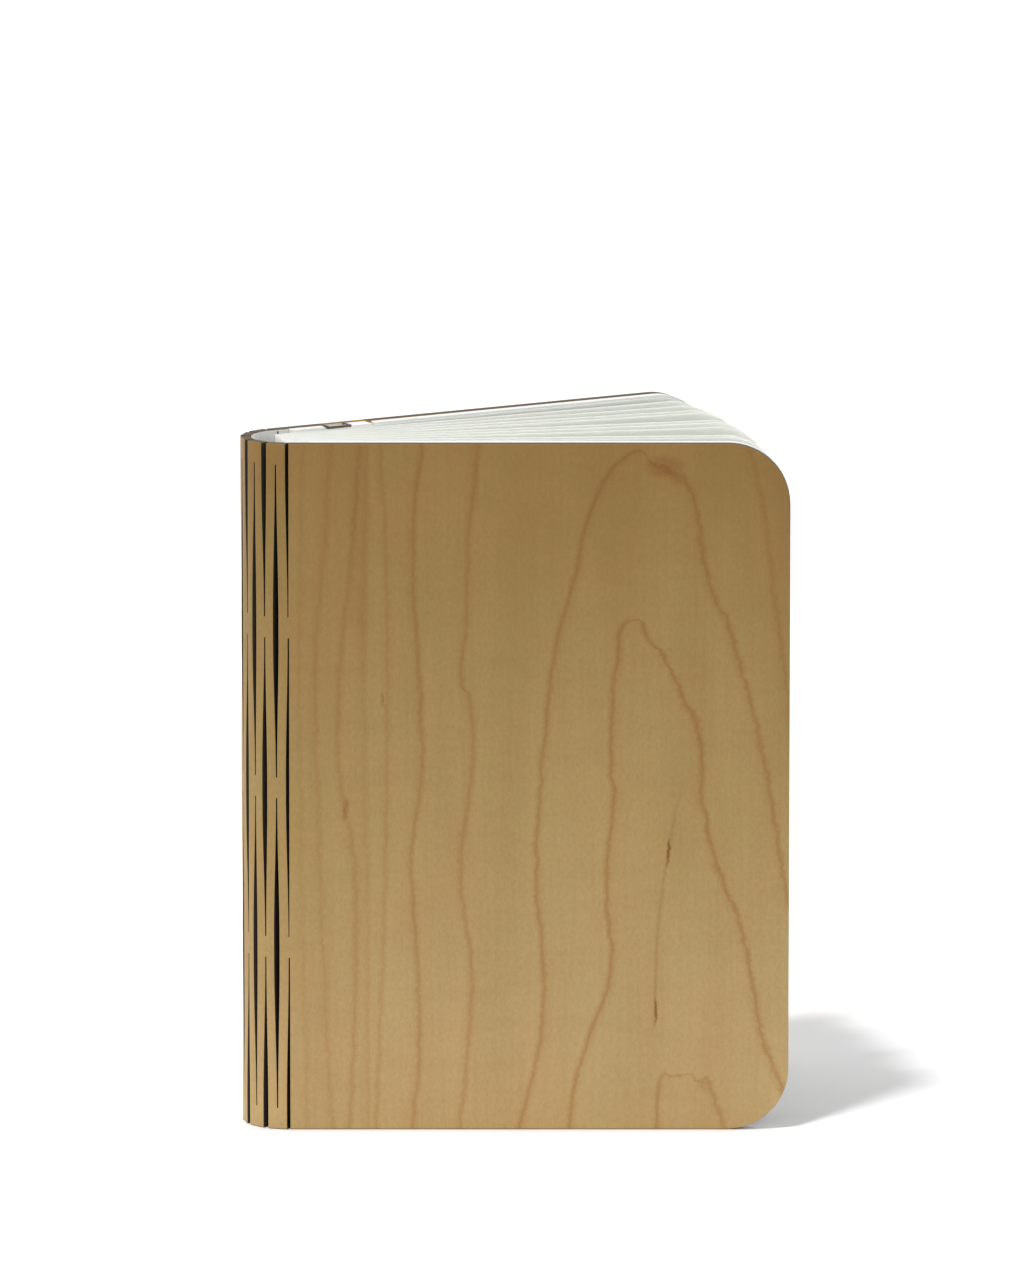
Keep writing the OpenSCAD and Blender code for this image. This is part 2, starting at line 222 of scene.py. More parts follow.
def slab(name, middle, thickness):
    """A sheet round the middle surface (rows, columns, 3): each side lies half the thickness along the
    cross product of the surface's two directions, and four rims close it."""
    along = np.gradient(middle, axis=0)
    across = np.gradient(middle, axis=1)
    normal = np.cross(along, across)
    normal /= np.linalg.norm(normal, axis=-1, keepdims=True)
    rows, columns = middle.shape[:2]
    points = np.concatenate([
        (middle + normal * thickness / 2).reshape(-1, 3),
        (middle - normal * thickness / 2).reshape(-1, 3),
    ])
    count = rows * columns
    top = quads(rows, columns)
    grid = np.arange(count).reshape(rows, columns)
    rim = np.concatenate([grid[0, :-1], grid[:-1, -1], grid[-1, :0:-1], grid[:0:-1, 0]])
    following = np.roll(rim, -1)
    sides = np.stack([rim, following, following + count, rim + count], -1)
    faces = np.concatenate([top, (top + count)[:, ::-1], sides[:, ::-1]])
    mesh = bpy.data.meshes.new(name)
    mesh.from_pydata(points.tolist(), [], outward(points, faces).tolist())
    return mesh


def box_profile(low, high, radius):
    """A rectangle's outline (12, 2) with rounded corners: a quarter circle of three points round the middle
    of each corner."""
    corners = np.repeat([(1, 1), (0, 1), (0, 0), (1, 0)], 3, axis=0)
    a = (np.arange(4)[:, None] + np.array([0, 0.5, 1])).ravel() * math.pi / 2
    inner = np.subtract(high, low) - 2 * radius
    return np.add(low, radius) + corners * inner + radius * np.stack([np.cos(a), np.sin(a)], -1)


def upright(flat, z):
    """A surface (rows, columns, 3) over a plan, (rows, 2) or (rows, columns, 2), at the heights z."""
    if flat.ndim == 2:
        flat = np.repeat(flat[:, None, :], len(z), axis=1)
    return np.concatenate([flat, np.broadcast_to(z[None, :, None], (*flat.shape[:2], 1))], -1)


# --- Shader maths ----------------------------------------------------------------------

class Value:
    """A value in a material's nodes. Arithmetic on it adds Math nodes."""

    def __init__(self, nodes, socket):
        self.nodes, self.socket = nodes, socket

    def __add__(self, other): return self.nodes.math("ADD", self, other)
    def __radd__(self, other): return self.nodes.math("ADD", other, self)
    def __sub__(self, other): return self.nodes.math("SUBTRACT", self, other)
    def __rsub__(self, other): return self.nodes.math("SUBTRACT", other, self)
    def __mul__(self, other): return self.nodes.math("MULTIPLY", self, other)
    def __rmul__(self, other): return self.nodes.math("MULTIPLY", other, self)
    def __truediv__(self, other): return self.nodes.math("DIVIDE", self, other)
    def __pow__(self, other): return self.nodes.math("POWER", self, other)
    def __abs__(self): return self.nodes.math("ABSOLUTE", self)


class Nodes:
    """The nodes of a material or of the world, each added by one method."""

    def __init__(self, owner):
        owner.use_nodes = True
        self.tree = owner.node_tree
        self.tree.nodes.clear()

    def join(self, source, target):
        self.tree.links.new(source.socket if isinstance(source, Value) else source, target)

    def add(self, kind, settings=None, values=None):
        """A node of this kind: its settings first, then its sockets' values or links."""
        node = self.tree.nodes.new(kind)
        for key, value in (settings or {}).items():
            setattr(node, key, value)
        for key, value in (values or {}).items():
            socket = node.inputs[key]
            if isinstance(value, (Value, bpy.types.NodeSocket)):
                self.join(value, socket)
            elif isinstance(value, (tuple, list)) and len(value) == 3 and socket.type == "RGBA":
                socket.default_value = (*value, 1)
            else:
                socket.default_value = value
        return node

    def math(self, operation, a, b=0.0, c=0.0, clamp=False):
        node = self.add("ShaderNodeMath", {"operation": operation, "use_clamp": clamp}, {0: a, 1: b, 2: c})
        return Value(self, node.outputs[0])

    def place(self, attribute=None):
        """Object coordinates, or a vector attribute of the piece, as its vector and three numbers."""
        if attribute:
            vector = self.add("ShaderNodeAttribute", {"attribute_name": attribute}).outputs["Vector"]
        else:
            vector = self.add("ShaderNodeTexCoord").outputs["Object"]
        split = self.add("ShaderNodeSeparateXYZ", values={0: vector})
        return (vector, *[Value(self, s) for s in split.outputs])

    def vector(self, x, y, z):
        return self.add("ShaderNodeCombineXYZ", values={0: x, 1: y, 2: z}).outputs[0]

    def noise(self, vector, scale=1.0, detail=2.0, roughness=0.5, distortion=0.0):
        values = {
            "Vector": vector, "Scale": scale, "Detail": detail,
            "Roughness": roughness, "Distortion": distortion,
        }
        return Value(self, self.add("ShaderNodeTexNoise", values=values).outputs[0])

    def cells(self, vector, scale, feature="F1"):
        node = self.add("ShaderNodeTexVoronoi", {"feature": feature}, {"Vector": vector, "Scale": scale})
        return Value(self, node.outputs[0])

    def ramp(self, value, *stops):
        """A number that passes through (position, level) stops."""
        node = self.add("ShaderNodeValToRGB", values={"Fac": value})
        ramp = node.color_ramp
        while len(ramp.elements) < len(stops):
            ramp.elements.new(0.5)
        for element, (position, level) in zip(ramp.elements, stops):
            element.position = position
            element.color = (level, level, level, 1)
        return Value(self, node.outputs[0])

    def curve(self, value, points):
        """A number that follows given (in, out) points, both from 0 to 1."""
        node = self.add("ShaderNodeFloatCurve", values={"Value": value})
        line = node.mapping.curves[0]
        while len(line.points) < len(points):
            line.points.new(0.5, 0.5)
        for point, place in zip(line.points, points):
            point.location = place
        node.mapping.update()
        return Value(self, node.outputs[0])

    def range(self, value, low, high, to_low=0.0, to_high=1.0, ease="SMOOTHSTEP"):
        node = self.add(
            "ShaderNodeMapRange",
            {"interpolation_type": ease},
            {"Value": value, "From Min": low, "From Max": high, "To Min": to_low, "To Max": to_high},
        )
        return Value(self, node.outputs[0])

    def highest(self, first, *others):
        """The highest of some values."""
        for other in others:
            first = self.math("MAXIMUM", first, other)
        return first

    def shown(self):
        """1 where the camera, a reflection or something clear shows the surface, and 0 where it only gives
        light."""
        path = self.add("ShaderNodeLightPath").outputs
        kinds = ("Camera", "Glossy", "Transmission")
        return self.highest(*[Value(self, path[f"Is {kind} Ray"]) for kind in kinds])

    def mix(self, share, a, b, blend="MIX"):
        """The colour share of the way from a to b, or b laid over a by another blend."""
        node = self.add("ShaderNodeMix", {"data_type": "RGBA", "blend_type": blend}, {0: share, 6: a, 7: b})
        return node.outputs[2]


class Finish(Nodes):
    """One material: a Principled shader whose constants are set on its own sockets."""

    def __init__(self, name, **constants):
        self.material = bpy.data.materials.new(name)
        super().__init__(self.material)
        self.shader = self.add("ShaderNodeBsdfPrincipled", values=constants)
        self.output = self.add("ShaderNodeOutputMaterial", values={"Surface": self.shader.outputs[0]})

    def finish(self, colour, roughness, height, bump):
        """Links colour and roughness, and a height in shares of the bump's distance in metres."""
        self.join(colour, self.shader.inputs["Base Color"])
        self.join(roughness, self.shader.inputs["Roughness"])
        node = self.add("ShaderNodeBump", values={"Distance": bump, "Height": height})
        self.join(node.outputs[0], self.shader.inputs["Normal"])
        return self.material


# --- Materials -------------------------------------------------------------------------

def maple():
    """Flat-cut maple veneer on a board, read from the board attribute: along it, depth and height. Growth
    lines run the whole height or close in arches, whose half width squared is set over the height. A line is
    dark in the middle and fades to both sides. The cut edges are browned. Painted shade: the face is darker and
    more saturated towards the top, and the cuts and inner face in the spine are painted near black or brown."""
    n = Finish("maple")
    _, along, depth, up = n.place("board")
    x, z = along / MM, up / MM
    tall, reach, square_low, square_span = height / MM, 170.0, -1200.0, 3700.0

    # the back cover's figure is the front's, turned over beyond the spine, stretched across and set lower
    spine = LINES * step / MM
    back_from, back_stretch, back_lower, blend_width = 9.0, 1.12, 27.0, 8.0
    folded = n.highest(x, back_from - (x + spine) * back_stretch)
    sunk = n.range(x, -spine, blend_width - spine, back_lower, 0.0)

    # the lines wander with the grain: slowly, then in small jags
    slow = n.noise(n.vector(x * 0.012, 0.0, z * 0.03), detail=1.0) - 0.5
    quick = n.noise(n.vector(x * 0.06, 3.0, z * 0.11), detail=5.0, roughness=0.66) - 0.5
    jag = n.noise(n.vector(x * 0.3, 7.0, z * 0.5), detail=3.0, roughness=0.6) - 0.5
    wide = folded + slow * 1.2 + quick * 3.0 + jag * 1.8
    high = z + sunk + quick * 7.0 + jag * 3.0

    def over_height(points, low=0.0, span=reach, lowered=0.0):
        """A number set in millimetres at several heights in millimetres."""
        share = n.math("DIVIDE", high + lowered, tall, clamp=True)
        return n.curve(share, [(h / tall, (v - low) / span) for h, v in points]) * span + low

    def line_tone(off, strength):
        """1 on the line, fading within 1.6 mm on its right and 3 mm on its left."""
        stops = (
            (0.20, 0.0), (0.36, 0.20), (0.43, 0.52), (0.47, 0.90),
            (0.5, 1.0), (0.53, 0.88), (0.57, 0.45), (0.66, 0.0),
        )
        return n.ramp(off * 0.1 + 0.5, *stops) * strength

    # growth lines over the whole height: strength, and (height, distance from the slit) places
    tones = [
        line_tone(wide - over_height(places), strength)
        for strength, places in (
            (0.30, ((0, 5.4), (135, 3.4), (215, 4.4))),
            (0.45, ((0, 12.9), (83, 9.5), (149, 8.6), (191, 11.7), (215, 13.0))),
            (0.60, ((0, 18.6), (56, 20.4), (91, 19.5), (104, 16.6), (136, 15.4), (161, 17.4), (191, 20.2),
                    (215, 21.6))),
            (0.35, ((0, 24.4), (83, 23.9), (149, 23.1), (215, 24.0))),
            (0.55, ((0, 26.8), (56, 28.9), (110, 30.2), (172, 30.1), (215, 27.9))),
            (0.80, ((0, 37.9), (31, 40.2), (59, 39.2), (86, 37.9), (114, 40.9), (130, 40.6), (160, 38.9),
                    (185, 38.2), (215, 41.2))),
            (0.72, ((0, 52.3), (28, 55.3), (47, 56.3), (86, 53.0), (113, 56.3), (136, 55.4), (141, 53.2),
                    (158, 54.3), (182, 55.2), (215, 58.6))),
            (0.60, ((0, 165.0), (105, 157.0), (128, 154.5), (144, 152.4), (162, 149.8), (179, 147.6),
                    (193, 146.1), (206, 143.2), (215, 140.8))),
        )
    ]

    def over_width(*points):
        """A number between -5 and 5 millimetres, set at several distances from the slit, and 0 at both ends."""
        ends = ((0, 0), *points, (reach, 0))
        return n.curve(x / reach, [(w / reach, d / 10 + 0.5) for w, d in ends]) * 10.0 - 5.0

    # arches: strength, roundness of the tip, how far the tip is lowered over the width, (height, middle)
    # and (height, half width squared)
    notch = over_width((107, 0), (110, 2.2), (113, 4.4), (118, 4.0), (120.5, 1.4), (123, 0))
    saw = over_width((112.5, 0), (115, -2.2), (118.5, 0.6), (123, 0), (127, 1.8), (129.5, -0.8), (132, 0))
    for strength, tip, lowered, middle, squares in (
        (0.92, 10.0, notch,
         ((0, 118.4), (34, 119.8), (81, 114.3), (130, 111.2), (172, 108.6), (215, 110.5)),
         ((0, 2260), (18, 1966), (34, 1731), (59, 1564), (81, 1433), (108, 1222), (130, 1008), (149, 787),
          (172, 435), (191, 285), (208, 95), (213, 0), (215, -60))),
        (1.0, 3.5, 0.0,
         ((0, 121.5), (28, 119.3), (48, 120.7), (84, 115), (103, 113.7), (131, 111.8), (143, 109.0),
          (150, 108.0), (153, 106.5), (156, 105.6), (161, 106.4), (215, 105)),
         ((0, 1243), (15, 996), (28, 745), (48, 480), (67, 392), (84, 285), (103, 193), (122, 187), (138, 110),
          (145.5, 62), (150, 44), (153, 27), (157, 13), (160.5, 0), (172, -300), (215, -1100))),
        (0.8, 8.0, saw,
         ((0, 124.2), (16, 122.2), (215, 122.2)),
         ((0, 109), (8, 84), (14, 58), (16, 36), (17.5, 0), (40, -700), (215, -1100))),
    ):
        dx = wide - over_height(middle)
        slope = n.math("SQRT", dx * dx * 4.0 + tip * tip)
        off = (dx * dx - over_height(squares, square_low, square_span, lowered)) / slope
        tones.append(line_tone(off, strength))
    lines = n.highest(*tones)

    def spot(at, size, low=0.35):
        """1 inside an upright ellipse, fading to 0 at its edge. The grain roughens it."""
        dx, dz = (wide - at[0]) / size[0], (z + sunk + quick * 4.0 - at[1]) / size[1]
        return n.range(n.math("SQRT", dx * dx + dz * dz), low, 1.0, 1.0, 0.0)

    # a thin leaning streak with a dark fleck near each end, two soft knots, and a warm stain at the first
    # arch's tip, with a long faint one on the left
    lean = over_height(((0, 109), (34, 112.4), (62, 113.6), (90, 117.2), (110, 121), (215, 140)))
    streak_strength = n.ramp(z / tall, (0.13, 0.0), (0.2, 0.45), (0.45, 0.35), (0.52, 0.0))
    streak = n.range(abs(x - lean), 0.0, 1.0, 1.0, 0.0) * streak_strength
    knots = n.highest(
        spot((17.4, 101.0), (1.3, 4.5)) * 0.4,
        spot((28.9, 135.5), (0.7, 3.0)) * 0.5,
        spot((112.6, 37.0), (0.7, 5.5)),
        spot((117.0, 87.5), (0.8, 5.5)),
    )
    stain = spot((115.2, 208.0), (8.0, 4.2), low=0.45) + spot((22.3, 180.0), (4.8, 50.0), low=0.3) * 0.35

    # the wood between the lines: painted shade that darkens it and makes it more saturated towards the top,
    # broad bands, soft figure across the grain, fine fibres and mottle
    painted_top_shade = n.range(z, 10.0, 215.0, ease="LINEAR") ** 2.0
    bands = n.noise(n.vector(x * 0.05, 1.0, z * 0.007), detail=2.0)
    figure = n.noise(n.vector(x * 0.045, 9.0, z * 0.12), detail=3.0, distortion=0.6)
    stripes = n.noise(n.vector(x * 0.7, 11.0, z * 0.025), detail=3.0, roughness=0.6)
    fibre = n.noise(n.vector(x * 4.5, 0.0, z * 0.5), detail=2.0)
    mottle = n.noise(n.vector(x * 0.85, 5.0, z * 0.62), detail=3.0, roughness=0.7)
    speck = n.noise(n.vector(x * 2.2, 17.0, z * 1.7), detail=2.0)
    tint = n.noise(n.vector(x * 0.035, 13.0, z * 0.03), detail=4.0, roughness=0.6)
    flecks = n.range(n.cells(n.vector(x * 0.9, 2.0, z * 0.22), 1.0), 0.03, 0.13, 1.0, 0.0)

    # painted shade: the colour runs from the light bottom tone to a darker, more saturated top tone
    base = n.mix(painted_top_shade, (0.612, 0.424, 0.193), (0.392, 0.231, 0.066))
    tints = n.mix(n.range(tint, 0.38, 0.62), (1.0, 0.985, 0.945), (0.975, 1.0, 0.955))
    for share, factor in (
        # painted shade: less blue higher up, so the top reads more saturated
        (n.range(z, 20.0, 110.0), (1.0, 1.0, 0.91)),
        (n.range(bands, 0.3, 0.7), (0.93, 0.90, 0.85)),
        (n.range(figure, 0.40, 0.72, 0.0, 0.6), (0.95, 0.93, 0.90)),
        (1.0, tints),
        (n.range(stripes, 0.35, 0.7, 0.0, 0.5), (0.94, 0.91, 0.86)),
        (n.range(mottle, 0.35, 0.65), (0.94, 0.93, 0.91)),
        (n.range(fibre, 0.35, 0.65, 0.0, 0.8), (0.93, 0.91, 0.88)),
        (n.range(speck, 0.36, 0.64, 0.0, 0.8), (0.95, 0.94, 0.915)),
        (stain, (0.85, 0.71, 0.56)),
        (lines, (0.83, 0.67, 0.48)),
        (flecks * 0.5, (0.80, 0.62, 0.48)),
        (streak, (0.72, 0.56, 0.42)),
        (knots, (0.56, 0.38, 0.24)),
    ):
        base = n.mix(share, base, factor, "MULTIPLY")

    # the cut edge, browned, and painted near black as shade in the slits where it faces another cut. The port's
    # notch keeps a face of clean wood, and the board's inner face is painted as shade in the hollow along the
    # spine
    skin = (0.02 * MM, 0.14 * MM)
    port = n.range(abs(x + port_middle), port_half, port_half + 0.05, 1.0, 0.0)
    port = port * n.range(z, tall - port_deep, tall - port_deep + 0.1)
    # painted shade in the hollow: the board's inner face along the spine takes the cut edge's dark colours
    hollow_shade = n.range(board - depth, *skin, 1.0, 0.0) * sheltered(n, x, 6.2)
    cut = n.highest(n.range(n.math("MINIMUM", depth, board - depth), *skin) * (1.0 - port), hollow_shade)
    layers = n.noise(n.vector(x * 0.3, depth / MM * 9.0, z * 0.3), detail=2.0)
    brown = n.mix(layers, (0.050, 0.030, 0.016), (0.110, 0.068, 0.038))
    # painted shade: near black for cut edges that face each other within the spine
    painted_slit_shade = n.mix(layers, (0.010, 0.007, 0.005), (0.026, 0.018, 0.012))
    outer_edge = n.math("MINIMUM", z, tall - z)
    # real char brown on the top and bottom edges, painted shade near black on the slit walls
    char_and_shade = n.mix(n.range(outer_edge, 0.10, 0.30), brown, n.mix(sheltered(n, x), brown, painted_slit_shade))
    colour = n.mix(cut, base, char_and_shade)
    rough = 0.44 + fibre * 0.12 + cut * 0.25
    relief = (fibre - 0.5) * 0.30 + (stripes - 0.5) * 0.25 - lines * 0.2 - knots * 0.5
    return n.finish(colour, rough, relief, bump=0.05 * MM)


def sheltered(n, x, beyond=0.5):
    """1 within the spine, whose cuts face each other, and a little beyond it: where shade is painted on the
    wood.
    """
    half = LINES * step / MM / 2
    return n.range(abs(x + half), half + beyond, half + beyond + 0.1, 1.0, 0.0)


def page_cloth():
    """Non-woven white sheet: long swirled fibres pressed flat, with much of the light passing through."""
    n = Finish("page_cloth", **{"Specular IOR Level": 0.2})
    vector, *_ = n.place()
    swirl = n.noise(vector, 520.0, detail=4.0, roughness=0.6, distortion=1.6)
    cloud = n.noise(vector, 90.0, detail=3.0)
    strands = n.range(swirl, 0.42, 0.58)
    colour = n.mix(strands, (0.94, 0.945, 0.925), (0.97, 0.975, 0.96))
    colour = n.mix(n.range(cloud, 0.3, 0.7, 0.0, 0.35), colour, (0.945, 0.95, 0.93))
    n.finish(colour, 0.5 + strands * 0.16, swirl, bump=0.06 * MM)
    through = n.add("ShaderNodeBsdfTranslucent", values={"Color": (0.97, 0.975, 0.955)})
    both = n.add("ShaderNodeMixShader", values={0: 0.7, 1: n.shader.outputs[0], 2: through.outputs[0]})
    n.join(both.outputs[0], n.output.inputs["Surface"])
    return n.material


def spine_cloth():
    """The lining: white inside, and painted near black on the side that the slits show, as shade seen through
    the slits. Its side is read from the board attribute, whose depth runs from 0 on the wood's side to 1."""
    n = Finish("spine_cloth")
    vector, *_ = n.place()
    _, _, inside, _ = n.place("board")
    swirl = n.noise(vector, 480.0, detail=4.0, distortion=1.4)
    white = n.mix(swirl, (0.80, 0.81, 0.77), (0.89, 0.89, 0.86))
    # painted shade: the side that the slits show is near black
    painted_slit_shade = n.mix(swirl, (0.012, 0.010, 0.008), (0.030, 0.024, 0.018))
    colour = n.mix(n.range(inside, 0.45, 0.55), painted_slit_shade, white)
    return n.finish(colour, 0.62 + swirl * 0.15, swirl, bump=0.06 * MM)


def foam_board():
    """Matt white foamed board with fine closed pores."""
    n = Finish("foam_board")
    vector, *_ = n.place()
    pores = n.cells(vector, 2600.0)
    cloud = n.noise(vector, 60.0, detail=3.0)
    colour = n.mix(n.range(pores, 0.1, 0.6), (0.68, 0.69, 0.67), (0.79, 0.795, 0.78))
    colour = n.mix(cloud * 0.3, colour, (0.75, 0.75, 0.71))
    return n.finish(colour, 0.5 + cloud * 0.2, pores, bump=0.03 * MM)


def moulded(name, dark, light, roughness, grain=900.0, bump=0.02, **constants):
    """Moulded plastic, or another plain finish: a fine spark-eroded grain and slow colour drift."""
    n = Finish(name, **constants)
    vector, *_ = n.place()
    fine = n.noise(vector, grain, detail=3.0)
    drift = n.noise(vector, 45.0, detail=2.0)
    colour = n.mix(n.range(drift, 0.3, 0.7), dark, light)
    return n.finish(colour, roughness - 0.08 + fine * 0.16, fine, bump=bump * MM)


def brushed(name, dark, light, roughness):
    """Plated metal with faint drawn lines along the height and slow dulling."""
    n = Finish(name, Metallic=1.0)
    vector, x, y, z = n.place()
    lines = n.noise(n.vector(x * 4000.0, y * 4000.0, z * 90.0), detail=3.0)
    dull = n.noise(vector, 260.0, detail=4.0)
    colour = n.mix(lines, dark, light)
    return n.finish(colour, roughness - 0.06 + lines * 0.1 + dull * 0.1, lines, bump=0.004 * MM)


def circuit_mask():
    """Solder mask over copper tracks, with drilled lands."""
    n = Finish("circuit_mask")
    vector, *_ = n.place()
    tracks = n.cells(vector, 420.0, feature="DISTANCE_TO_EDGE")
    lands = n.cells(vector, 260.0)
    track = n.range(tracks, 0.05, 0.08, 1.0, 0.0)
    land = n.range(lands, 0.10, 0.13, 1.0, 0.0)
    colour = n.mix(track, (0.012, 0.085, 0.035), (0.03, 0.17, 0.065))
    colour = n.mix(land, colour, (0.55, 0.45, 0.25))
    return n.finish(colour, 0.3 + land * 0.1, track + land, bump=0.02 * MM)


wood = maple()
page = page_cloth()
lining_cloth = spine_cloth()
foam = foam_board()
white_plastic = moulded("tray_plastic", (0.82, 0.83, 0.82), (0.87, 0.875, 0.865), 0.45)
solder_white = moulded("solder_white", (0.80, 0.81, 0.79), (0.86, 0.865, 0.85), 0.3, grain=600.0)
phosphor = moulded("phosphor", (0.78, 0.60, 0.16), (0.86, 0.70, 0.25), 0.35, grain=3000.0)
foam_tape = moulded("foam_tape", (0.70, 0.70, 0.68), (0.80, 0.80, 0.78), 0.8, grain=2500.0, bump=0.05)
amber_film = moulded("amber_film", (0.50, 0.26, 0.07), (0.62, 0.36, 0.12), 0.25, grain=300.0, bump=0.008)
chip_black = moulded("chip_black", (0.018, 0.018, 0.020), (0.035, 0.035, 0.038), 0.5, grain=2200.0)
# painted shade: a dark brown for the pieces that stand in for shadow lines by the socket and the lining
rim_brown = moulded("rim_brown", (0.085, 0.062, 0.040), (0.14, 0.105, 0.07), 0.5)
red_cover = moulded("wire_cover", (0.36, 0.02, 0.02), (0.46, 0.035, 0.03), 0.4)
switch_glass = moulded("switch_glass", (0.22, 0.34, 0.30), (0.32, 0.44, 0.40), 0.12, bump=0.004)
foil = brushed("pouch_foil", (0.48, 0.49, 0.51), (0.60, 0.61, 0.63), 0.38)
nickel = brushed("nickel", (0.58, 0.57, 0.55), (0.70, 0.69, 0.67), 0.26)
socket_steel = brushed("socket_steel", (0.52, 0.52, 0.52), (0.66, 0.66, 0.66), 0.30)
circuit = circuit_mask()

# --- Wood --------------------------------------------------------------------------------

def cover_place(j, points):
    """Where points (n, 3) of a cover lie on the board. j is 0 for the front, and the last unit's for the
    back."""
    flat = turned(points[:, :2] - middles_rest[j], j * turn)
    return np.stack([flat[:, 0] - j * step, flat[:, 1] + board / 2, points[:, 2]], -1)


def merged(node):
    """A bmesh copy of a CAD node's mesh with its loose triangles joined and its flat faces made whole."""
    shape = bmesh.new()
    shape.from_mesh(frame["nodes"][node].data)
    bmesh.ops.remove_doubles(shape, verts=shape.verts, dist=1e-6)
    bmesh.ops.dissolve_limit(
        shape, angle_limit=math.radians(0.5), verts=shape.verts, edges=shape.edges, delimit={"NORMAL"}
    )
    return shape


def softened(node, radius, material, body, keep=None, place=None):
    """A CAD node's own shape with its sharp edges rounded by the radius, apart from those that keep picks."""
    shape = merged(node)
    sharp = [
        e for e in shape.edges
        if len(e.link_faces) == 2 and e.calc_face_angle(0) > math.radians(30) and not (keep and keep(e))
    ]
    bmesh.ops.bevel(
        shape, geom=sharp, offset=radius, segments=2, profile=0.5, affect="EDGES", clamp_overlap=True
    )
    mesh = bpy.data.meshes.new(node + "_soft")
    shape.to_mesh(mesh)
    shape.free()
    if place:
        points = np.zeros(len(mesh.vertices) * 3)
        mesh.vertices.foreach_get("co", points)
        board_attribute(mesh, place(points.reshape(-1, 3)))
    thing = finished(node + "_piece", mesh, material)
    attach(thing, body)
    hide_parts(node)


def on_tab(j):
    """Picks the edges of a cover's tabs, which run on into the strips with no step."""
    def test(edge):
        ends = cover_place(j, np.array([v.co for v in edge.verts]))
        side = ends[:, 0] if j == 0 else -LINES * step - ends[:, 0]
        level = abs(ends[0][2] - ends[1][2]) < TINY
        return bool(level and (side < slit_narrow / 2 + 0.01 * MM).all() and (side < 0).any())
    return test


for j, node in ((0, "front_cover"), (LINES, "back_cover")):
    softened(node, edge_round, wood, node, keep=on_tab(j), place=lambda p, j=j: cover_place(j, p))


def slit_edges(share):
    """How far a strip's edges lie from its bend line, at its full and its half slit. share is 0 at the
    rib's height and 1 at the link's, and each slit is wide where nothing bridges it."""
    quarter = step / 2
    full = quarter - (slit_wide + (slit_narrow - slit_wide) * share) / 2
    half = quarter - (slit_narrow + (slit_wide - slit_narrow) * share) / 2
    return full, half


def board_ring(outline, flat, across, z):
    """A ring (n, 3) over the plan flat at height z, and its place on the board, across from the slit."""
    level = np.full(len(flat), z)
    place = np.column_stack([outline[:, 0] - across, outline[:, 1] + board / 2, level])
    return np.column_stack([flat, level]), place


def board_rod(name, rings):
    """A closed bar through rings that come with their places on the board."""
    points, places = (np.array(rows) for rows in zip(*rings))
    mesh = rod(name, points)
    board_attribute(mesh, places.reshape(-1, 3))
    return mesh


def strip(i, part, low, high, link_on_top):
    """One quarter of strip i. Its rounded rectangle turns about the bend line with the height, from the
    rib's angle to the link's, by a smooth step."""
    odd = i % 2 == 1
    rib, link = (i, i - 1) if odd else (i - 1, i)
    heights = np.linspace(low, high, STRIP_RINGS)
    t = (heights - low) / (high - low)
    share = smooth(t if link_on_top else 1 - t)
    rings = []
    for z, w in zip(heights, share):
        full, half = slit_edges(w)
        x0, x1 = (-half, full) if odd else (-full, half)
        outline = box_profile((x0, -board / 2), (x1, board / 2), edge_round)
        flat = bend_lines[i - 1] + turned(outline, -(rib + (link - rib) * w) * turn)
        rings.append(board_ring(outline, flat, (i - 0.5) * step, z))
    name = f"strip_{i}_{part}"
    thing = finished(name, board_rod(name, rings), wood)
    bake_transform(thing)
    if part == 1:
        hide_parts(f"spine_strip_{i}")


def bridges(j, node, lows):
    """The blocks of one unit: rounded rectangles between its two slits, rounded over at the book's edges."""
    corner_point = np.array([step - slit_wide / 2, board / 2])
    arc = np.linspace(0, math.pi / 2, 4)
    rounding = [(edge_round * (1 - math.cos(a)), edge_round * (1 - math.sin(a))) for a in arc]
    whole = bmesh.new()
    for low in lows:
        high = low + bridge
        bottom = rounding if low < TINY else [(0.0, 0.0)]
        top = rounding[::-1] if high > height - TINY else [(0.0, 0.0)]
        levels = [(low + up, inset) for up, inset in bottom] + [(high - down, inset) for down, inset in top]
        rings = []
        for z, inset in levels:
            outline = box_profile(inset - corner_point, corner_point - inset, edge_round)
            flat = middles_rest[j] + turned(outline, -j * turn)
            rings.append(board_ring(outline, flat, j * step, z))
        whole.from_mesh(board_rod("part", rings))
    mesh = bpy.data.meshes.new(node)
    whole.to_mesh(mesh)
    whole.free()
    thing = finished(node + "_piece", mesh, wood)
    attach(thing, unit_bodies[j])
    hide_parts(node)


rib_lows = (0.0, (height - bridge) / 2, height - bridge)
link_lows = (link_middle - bridge / 2, height - link_middle - bridge / 2)
heights_cut = sorted([*rib_lows, *link_lows])
for i in range(1, LINES + 1):
    for part in range(4):
        strip(i, part + 1, heights_cut[part] + bridge, heights_cut[part + 1], link_on_top=part % 2 == 0)
for k in range(1, 6):
    bridges(2 * k - 1, f"spine_rib_{k}", rib_lows)
for k in range(1, 5):
    bridges(2 * k, f"spine_link_{k}", link_lows)

# --- Pages -------------------------------------------------------------------------------
page_front = board + white_board + sheet_t
page_back = closed_t - page_front
leaf_length = cover_length - page_start - page_inset
page_height = height - 2 * page_gap
page_corner = corner - page_inset
# how far each leaf's outer edge leans towards a neighbour, as a share of their distance
leaf_lean = (0.25, -0.5, 0.55, 0.4, -0.3, 0.55, -0.1, -0.1, 0.05)


def leaf_root(j):
    """The middle of leaf j's inner end in the closed book."""
    return np.array([page_start, page_front + (page_back - page_front) * j / LINES])


def leaf_way(j):
    """Leaf j's direction in plan at rest."""
    return np.array([math.cos(j * leaf_step), math.sin(j * leaf_step)])


